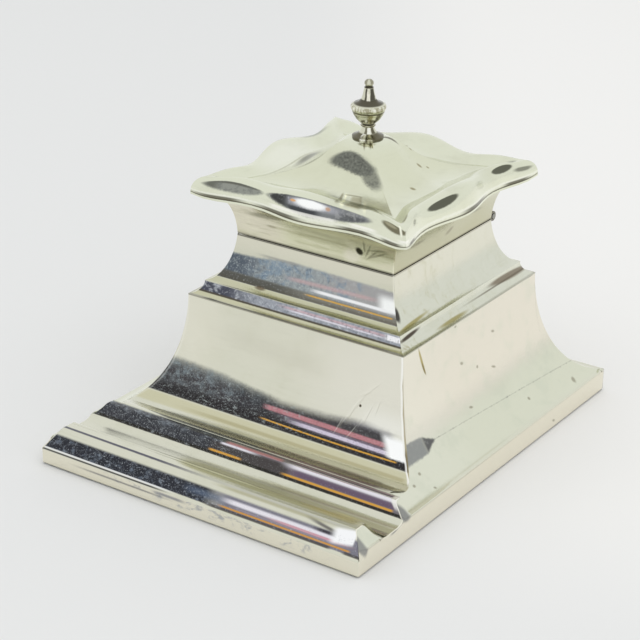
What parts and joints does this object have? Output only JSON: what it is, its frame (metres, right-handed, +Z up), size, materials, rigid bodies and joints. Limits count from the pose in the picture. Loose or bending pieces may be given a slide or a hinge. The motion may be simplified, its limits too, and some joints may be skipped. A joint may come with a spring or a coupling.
{
  "type": "desk inkstand",
  "caption": "Square sheet-metal desk inkstand with concave sides, a pen tray in front, a hinged lid with a waved rim and turned finial, and a glass ink well that lifts out.",
  "frame": {"origin": "middle of the footprint, on the desk", "axes": "+Z up, -Y towards the pen tray, +X to the right as seen by the writer"},
  "size_m": [0.1, 0.1274, 0.0956],
  "materials": {
    "silver_front": "polished silver sheet, tarnished in bands",
    "silver_back": "polished silver sheet, lightly worn",
    "silver_left": "polished silver sheet, lightly worn",
    "silver_right": "polished silver sheet, lightly worn",
    "silver_neck_front": "polished silver sheet, tarnished in bands",
    "silver_neck_back": "polished silver sheet, lightly worn",
    "silver_neck_left": "polished silver sheet, lightly worn",
    "silver_neck_right": "polished silver sheet, lightly worn",
    "silver_deck": "silver plate, duller inside",
    "silver_collar": "silver ring, duller inside",
    "filling": "plaster and pitch filling, matt",
    "felt": "pressed felt",
    "board": "stained hardwood board",
    "baize": "woollen baize",
    "silver_hinge_neck": "silver, dull",
    "steel_pin": "drawn steel wire",
    "glass": "clear pressed glass",
    "silver_lid": "polished silver sheet, raised over a form",
    "silver_soffit": "silver sheet, flat",
    "silver_skirt_front": "polished silver sheet, finely scratched",
    "silver_skirt_back": "polished silver sheet, lightly worn",
    "silver_skirt_left": "polished silver sheet, lightly worn",
    "silver_skirt_right": "polished silver sheet, lightly worn",
    "silver_hinge_lid": "silver, dull",
    "silver_finial": "turned and polished silver",
    "silver_washer": "silver, dull",
    "brass_nut": "turned brass, dull"
  },
  "bodies": {
    "case": {"front_panel": "silver_front", "back_panel": "silver_back", "left_panel": "silver_left", "right_panel": "silver_right", "neck_front": "silver_neck_front", "neck_back": "silver_neck_back", "neck_left": "silver_neck_left", "neck_right": "silver_neck_right", "well_deck": "silver_deck", "well_collar": "silver_collar", "loading_fill": "filling", "well_pad": "felt", "base_board": "board", "base_baize": "baize", "hinge_neck_leaf": "silver_hinge_neck", "hinge_pin": "steel_pin"},
    "well": {"ink_glass": "glass"},
    "lid": {"lid_top": "silver_lid", "lid_soffit": "silver_soffit", "skirt_front": "silver_skirt_front", "skirt_back": "silver_skirt_back", "skirt_left": "silver_skirt_left", "skirt_right": "silver_skirt_right", "hinge_lid_leaf": "silver_hinge_lid", "finial": "silver_finial", "finial_washer": "silver_washer", "finial_nut": "brass_nut"}
  },
  "joints": [
    {"name": "lid_hinge", "type": "hinge", "parent": "case", "child": "lid", "pos_m": [0, 0.0403, 0.05455], "axis": [-1, 0, 0], "range_deg": [0, 120]},
    {"name": "well_lift", "type": "slide", "parent": "case", "child": "well", "axis": [0, 0, 1], "range_m": [0, 0.01]}
  ]
}
